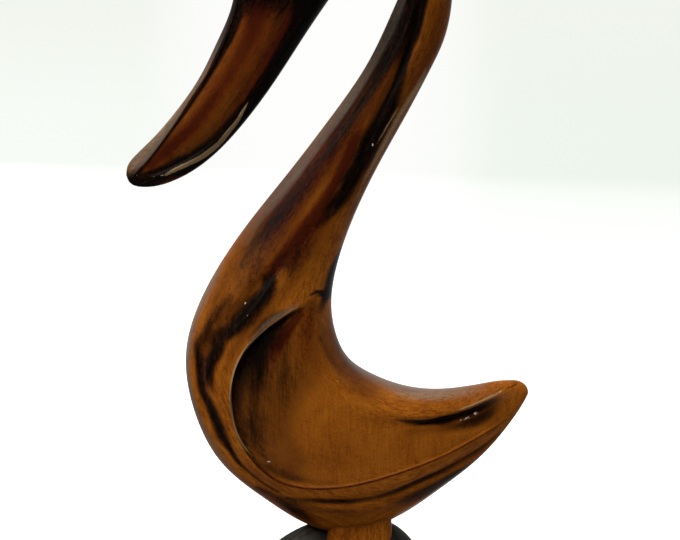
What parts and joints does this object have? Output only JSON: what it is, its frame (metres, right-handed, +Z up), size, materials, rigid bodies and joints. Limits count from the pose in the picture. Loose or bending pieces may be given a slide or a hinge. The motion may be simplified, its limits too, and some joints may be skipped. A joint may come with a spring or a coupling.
{
  "type": "wooden pelican figurine",
  "caption": "Carved wooden pelican figurine with its long bill tucked down before an S-shaped neck and hollowed wings, standing by a short foot on a dark gouged mound.",
  "frame": {"origin": "centre of the mound's flat underside", "axes": "+Z up, +X towards the bird's tail, -X towards its bill, +Y across the bird's thickness"},
  "size_m": [0.1709, 0.0661, 0.3101],
  "materials": {
    "amber_wood": "stained amber brown with dark rubbed streaks, satin varnish",
    "dark_wood": "stained nearly black, rough gouged, dull varnish"
  },
  "bodies": {
    "root": {"pelican": "amber_wood", "mound": "dark_wood"}
  },
  "joints": []
}
